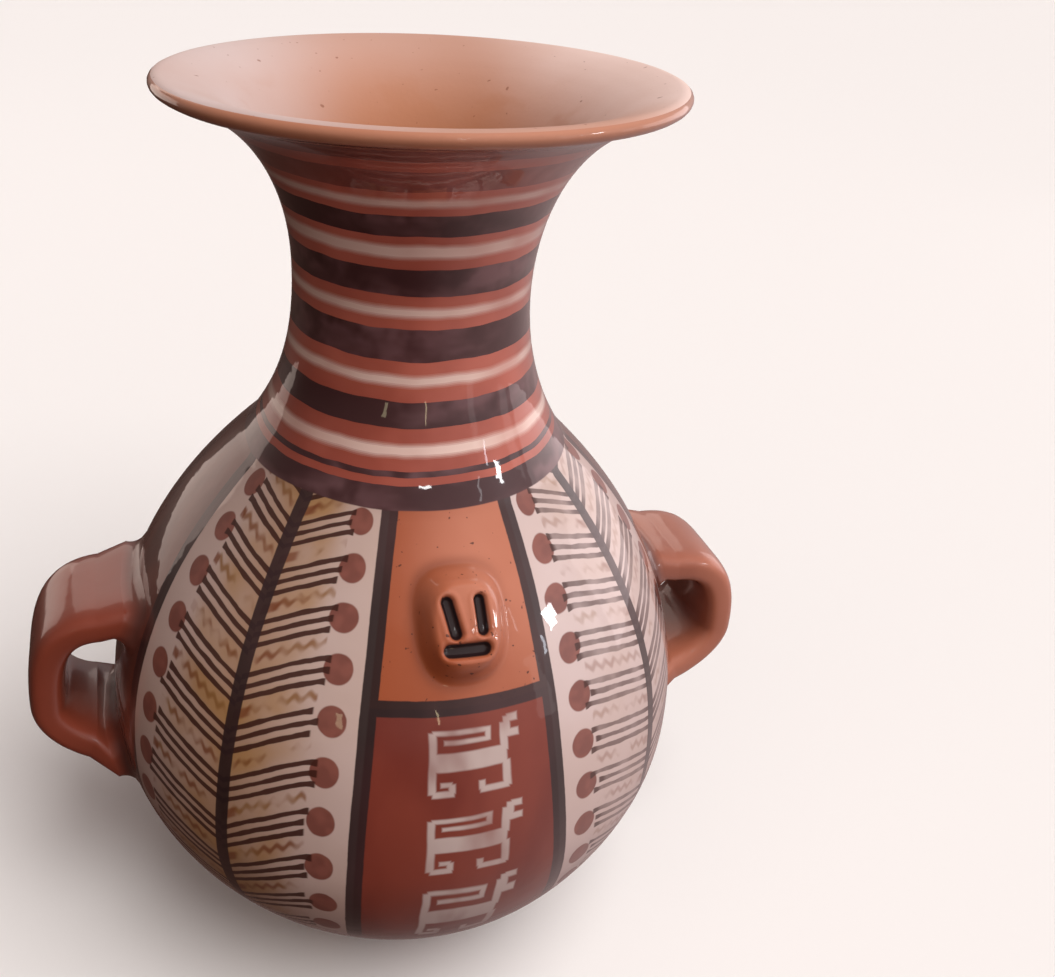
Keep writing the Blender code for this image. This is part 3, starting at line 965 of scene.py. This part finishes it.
def figure_mark(canvas):
    """Share of white paint of the animals in the front panel."""
    ragged = canvas.ragged(2.2, 45.0, shift=7.0)
    ragged_down = canvas.ragged(2.2, 45.0, shift=11.0)
    start, squeeze = FIGURE_STRETCH
    level = canvas.down - (canvas.down - start).high(0.0) * squeeze + ragged_down
    count = (level - FIGURE_TOP + FIGURE_LEAD) / FIGURE_STEP
    y = count.fraction() * FIGURE_STEP - FIGURE_LEAD
    x = canvas.angle * DEGREE_LENGTH + ragged
    depth = None
    for (left, right), (top, bottom) in FIGURE:
        inside_x = (right - left) / 2 - abs(x - (left + right) / 2)
        inside_y = (bottom - top) / 2 - abs(y - (top + bottom) / 2)
        inside = inside_x.low(inside_y)
        depth = inside if depth is None else depth.high(inside)
    shown = count.between(0.0, FIGURE_COUNT, 0.001)
    thin = canvas.noise(70.0, 2.0, (1.0, 1.0, 0.35), 13.0).rise(0.25, 0.65) * 0.62 + 0.35
    return depth.rise(-0.60, 0.60) * shown * thin


def panel_colours(canvas, wash, streak):
    """Body paint below the collar: front panel, ferns, black lines and plain slip on the sides and back."""
    tree = canvas.tree
    front = canvas.line(FRONT_LINES)
    border = canvas.line(BORDER_LINES)
    ragged = canvas.ragged(1.6, 28.0, shift=15.0) + canvas.ragged(0.5, 300.0, 1.0)
    front_gap = canvas.gap(front)
    border_gap = canvas.gap(border)

    # Painted shade: the orange is deeper to the left of the lug; it also deepens lower down the panel
    deep = canvas.angle.fall(-18.0, 8.0) * 0.70 + canvas.down.rise(30.0, 62.0) * 0.35
    orange = mixed(tree, (wash * 0.35 + deep).low(1.0), ORANGE, ORANGE_DEEP)
    # Painted shade in the hollow around the lug
    orange = mixed(tree, canvas.attribute("hollow") * 0.75, orange, ORANGE_SHADE)
    specks = canvas.noise(420.0, 1.0, shift=17.0).rise(0.705, 0.755)
    orange = mixed(tree, specks * 0.8, orange, STROKE)
    red = mixed(tree, streak, RED_FIELD, RED_FIELD_LIGHT)
    bar_middle = (BAR[0] + BAR[1]) / 2
    below = (canvas.down + ragged).rise(bar_middle - SOFT_EDGE, bar_middle + SOFT_EDGE)
    panel = mixed(tree, below, orange, red)
    panel = mixed(tree, figure_mark(canvas), panel, FIGURE_WHITE)
    bar = (canvas.down + ragged * 0.6).between(BAR[0], BAR[1], 0.3)

    ferns, stem_mark = fern_colours(canvas, wash)
    side = mixed(tree, streak, SIDE_SLIP, SIDE_SLIP_DARK)
    colour = mixed(tree, front_gap.rise(-SOFT_EDGE, SOFT_EDGE), panel, ferns)
    colour = mixed(tree, border_gap.rise(-SOFT_EDGE, SOFT_EDGE), colour, side)
    dark = mixed(tree, streak * 0.55, DARK, DARK_WASH)
    in_front = front_gap.fall(-SOFT_EDGE, SOFT_EDGE)
    in_ferns = border_gap.fall(-SOFT_EDGE, SOFT_EDGE) * (1.0 - in_front)
    lines = abs(front_gap + ragged * 0.5).fall(LINE_HALF - 0.25, LINE_HALF + 0.3)
    lines = lines.high(abs(border_gap + ragged * 0.6).fall(LINE_HALF - 0.2, LINE_HALF + 0.4))
    lines = lines.high(bar * in_front).high(stem_mark * in_ferns)
    return mixed(tree, lines * 0.97, colour, dark)


def new_material(name):
    """(material, tree, shader) with a plain shader to fill in."""
    material = bpy.data.materials.new(name)
    material.use_nodes = True
    return material, material.node_tree, material.node_tree.nodes["Principled BSDF"]


def add_bump(tree, height, strength, distance, sockets):
    """Fine relief from a height, for these normal sockets of a shader."""
    bump = tree.nodes.new("ShaderNodeBump")
    bump.inputs["Strength"].default_value = strength
    bump.inputs["Distance"].default_value = distance
    plug(tree, height, bump.inputs["Height"])
    for socket in sockets:
        tree.links.new(bump.outputs[0], socket)


def painted_glaze(name, coat_roughness):
    """Painted slips under a clear glaze, for the outside of the vessel or a strap."""
    material, tree, shader = new_material(name)
    canvas = Canvas(tree)
    wash = canvas.noise(20.0, 3.0, shift=19.0).rise(0.30, 0.72)
    streak = canvas.noise(26.0, 3.0, (1.0, 1.0, 0.45), 23.0).rise(0.35, 0.68)
    band_streak = canvas.noise(24.0, 3.0, (0.8, 0.8, 2.2), 29.0).rise(0.36, 0.70)
    neck = neck_colours(canvas, wash, band_streak)
    body = panel_colours(canvas, wash, streak)
    edge = canvas.down + canvas.ragged(1.6, 35.0, shift=31.0)
    colour = mixed(tree, edge.rise(PANEL_TOP - 0.3, PANEL_TOP + 0.3), neck, body)
    colour = mixed(tree, canvas.attribute("groove").rise(0.25, 0.55), colour, DARK)
    # The left strap is painted darker as painted shade, the right one paler as painted light
    strap = mixed(tree, canvas.right, HANDLE_SLIP_SHADED_LEFT, HANDLE_SLIP_LIT_RIGHT)
    strap = mixed(tree, wash * 0.45, strap, HANDLE_WASH)
    colour = mixed(tree, canvas.attribute("strap"), colour, strap)
    plug(tree, colour, shader.inputs["Base Color"])
    shader.inputs["Roughness"].default_value = 0.42
    shader.inputs["IOR"].default_value = 1.45
    shader.inputs["Coat Weight"].default_value = 1.0
    shader.inputs["Coat Roughness"].default_value = coat_roughness
    shader.inputs["Coat IOR"].default_value = 1.52
    ripple = canvas.noise(55.0, 2.0, shift=37.0) * 0.8 + canvas.noise(260.0, 1.0, shift=41.0) * 0.10
    add_bump(tree, ripple, 0.35, 0.001, (shader.inputs["Normal"], shader.inputs["Coat Normal"]))
    return material


def bare_clay():
    """Matt fired clay inside the vessel and under its foot, faint turning lines, painted shade and light."""
    material, tree, shader = new_material("bare_clay")
    canvas = Canvas(tree)
    wash = canvas.noise(14.0, 3.0, shift=3.0).rise(0.3, 0.7)
    # Painted shade: the clay is deeper orange towards the middle, down in the throat
    colour = mixed(tree, canvas.radius.fall(45.0, 85.0), CLAY, CLAY_DEEP)
    colour = mixed(tree, canvas.x.fall(-0.075, -0.005), colour, CLAY_PINK)
    # Painted light: paler clay on the right
    colour = mixed(tree, canvas.x.rise(0.035, 0.095), colour, CLAY_PAINTED_LIGHT)
    blotch = canvas.noise(45.0, 3.0, shift=47.0).rise(0.48, 0.62) * canvas.radius.fall(50.0, 78.0)
    colour = mixed(tree, wash * 0.22 + blotch * 0.42, colour, CLAY_DEEP)
    spots = canvas.noise(300.0, 1.0, shift=9.0).rise(0.74, 0.80)
    colour = mixed(tree, spots * 0.6, colour, RUST)
    plug(tree, colour, shader.inputs["Base Color"])
    shader.inputs["Roughness"].default_value = 0.72
    turning = (canvas.radius * 0.9 + canvas.noise(20.0) * 3.0).joined("SINE")
    grain = turning * 0.10 + canvas.noise(500.0, 2.0) * 0.35
    add_bump(tree, grain, 0.25, 0.0006, (shader.inputs["Normal"],))
    return material


def plain(name, colour, roughness):
    material, _, shader = new_material(name)
    shader.inputs["Base Color"].default_value = (*colour, 1.0)
    shader.inputs["Roughness"].default_value = roughness
    return material


def make_floor():
    """A pale floor that catches the shadow, without light on the vessel or a reflection in its glaze."""
    bpy.ops.mesh.primitive_plane_add(size=FLOOR_SIZE, location=(0, 0, 0))
    floor = bpy.context.object
    floor.name = "floor"
    floor.data.materials.append(plain("pale_floor", FLOOR_COLOUR, FLOOR_ROUGHNESS))
    floor.visible_glossy = False
    floor.visible_diffuse = False


def make_backdrop():
    """A pale wall far around, seen by the camera alone, so that low views end in the floor's own tone."""
    material, _, shader = new_material("pale_backdrop")
    shader.inputs["Base Color"].default_value = (0.0, 0.0, 0.0, 1.0)
    shader.inputs["Specular IOR Level"].default_value = 0.0
    shader.inputs["Emission Color"].default_value = (*BACKDROP, 1.0)
    shader.inputs["Emission Strength"].default_value = 1.0
    bpy.ops.mesh.primitive_cylinder_add(
        radius=BACKDROP_RADIUS,
        depth=2 * BACKDROP_RADIUS,
        end_fill_type="NOTHING",
    )
    backdrop = bpy.context.object
    backdrop.name = "backdrop"
    backdrop.data.materials.append(material)
    backdrop.visible_glossy = False
    backdrop.visible_diffuse = False
    backdrop.visible_shadow = False


def make_camera():
    """The photograph's camera: pinhole values from the ellipses of the lip and the painted rings."""
    forward = Vector((math.sin(YAW) * math.cos(PITCH), math.cos(YAW) * math.cos(PITCH), -math.sin(PITCH)))
    level = Vector((math.cos(YAW), -math.sin(YAW), 0.0))
    below = forward.cross(level)
    right = level * math.cos(ROLL) + below * math.sin(ROLL)
    down = below * math.cos(ROLL) - level * math.sin(ROLL)
    turn = Matrix.Rotation(-FRONT_TURN, 3, "Z")
    axes = Matrix((turn @ right, turn @ -down, turn @ -forward)).transposed()
    data = bpy.data.cameras.new("camera")
    camera = bpy.data.objects.new("camera", data)
    camera.matrix_world = Matrix.Translation(EYE) @ axes.to_4x4()
    width, height = PHOTO_SIZE
    data.sensor_width = SENSOR
    data.lens = FOCAL_PIXELS * SENSOR / width
    data.shift_x = (width / 2 - CENTRE_PIXEL[0]) / width
    data.shift_y = (CENTRE_PIXEL[1] - height / 2) / width
    data.clip_start = CLIP_START
    bpy.context.scene.collection.objects.link(camera)
    bpy.context.scene.camera = camera


def sky_direction(azimuth, elevation):
    """Unit step towards a place in the room, by degrees from the front and above the floor."""
    around, up = math.radians(azimuth), math.radians(elevation)
    return Vector((math.sin(around) * math.cos(up), -math.cos(around) * math.cos(up), math.sin(up)))


def add_lamp(name, data, azimuth, elevation, distance):
    lamp = bpy.data.objects.new(name, data)
    away = sky_direction(azimuth, elevation)
    lamp.location = LIGHT_TARGET + away * distance
    lamp.rotation_euler = away.to_track_quat("Z", "Y").to_euler()
    bpy.context.scene.collection.objects.link(lamp)
    return lamp


def make_panel(name, azimuth, elevation, distance, size, brightness, colour):
    """A soft light that shows only as a reflection in the glaze."""
    data = bpy.data.lights.new(name, "AREA")
    data.shape = "RECTANGLE"
    data.size, data.size_y = size
    data.energy = brightness * math.pi * size[0] * size[1]
    data.color = colour
    add_lamp(name, data, azimuth, elevation, distance).visible_diffuse = False


def make_sun(name, azimuth, elevation, strength, colour):
    """Soft light from a wide part of the ceiling, without a reflection of its own."""
    data = bpy.data.lights.new(name, "SUN")
    data.energy = strength
    data.angle = math.radians(SUN_SPREAD)
    data.color = colour
    add_lamp(name, data, azimuth, elevation, SUN_DISTANCE).visible_glossy = False


def make_room():
    """Dim even surroundings, paler and pinker towards the right."""
    world = bpy.data.worlds.new("studio")
    world.use_nodes = True
    tree = world.node_tree
    where = tree.nodes.new("ShaderNodeTexCoord")
    split = tree.nodes.new("ShaderNodeSeparateXYZ")
    tree.links.new(where.outputs["Generated"], split.inputs[0])
    right = Value(tree, split.outputs[0])
    up = Value(tree, split.outputs[2])
    low = mixed(tree, right.rise(-0.2, 0.9), ROOM_LOW_LEFT, ROOM_LOW_RIGHT)
    high = mixed(tree, right.rise(-0.6, 0.9), ROOM_HIGH_LEFT, ROOM_HIGH_RIGHT)
    plug(tree, mixed(tree, up.rise(-0.15, 0.15), low, high), tree.nodes["Background"].inputs["Color"])
    bpy.context.scene.world = world


def make_lights():
    make_room()
    for sun in SUNS:
        make_sun(*sun)
    for panel in PANELS:
        make_panel(*panel)


def main():
    vessel = make_vessel()
    handles = [make_handle("handle_right", 1), make_handle("handle_left", -1)]
    vessel.data.materials.append(painted_glaze("vessel_glaze", VESSEL_COAT))
    strap_glaze = painted_glaze("strap_glaze", STRAP_COAT)
    for handle in handles:
        handle.data.materials.append(strap_glaze)
    for piece in [vessel, *handles]:
        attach(piece, "root")
        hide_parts("aryballos")
    vessel.data.materials.append(bare_clay())
    make_floor()
    make_backdrop()
    make_camera()
    make_lights()
    bpy.context.scene.view_settings.view_transform = "Standard"


main()
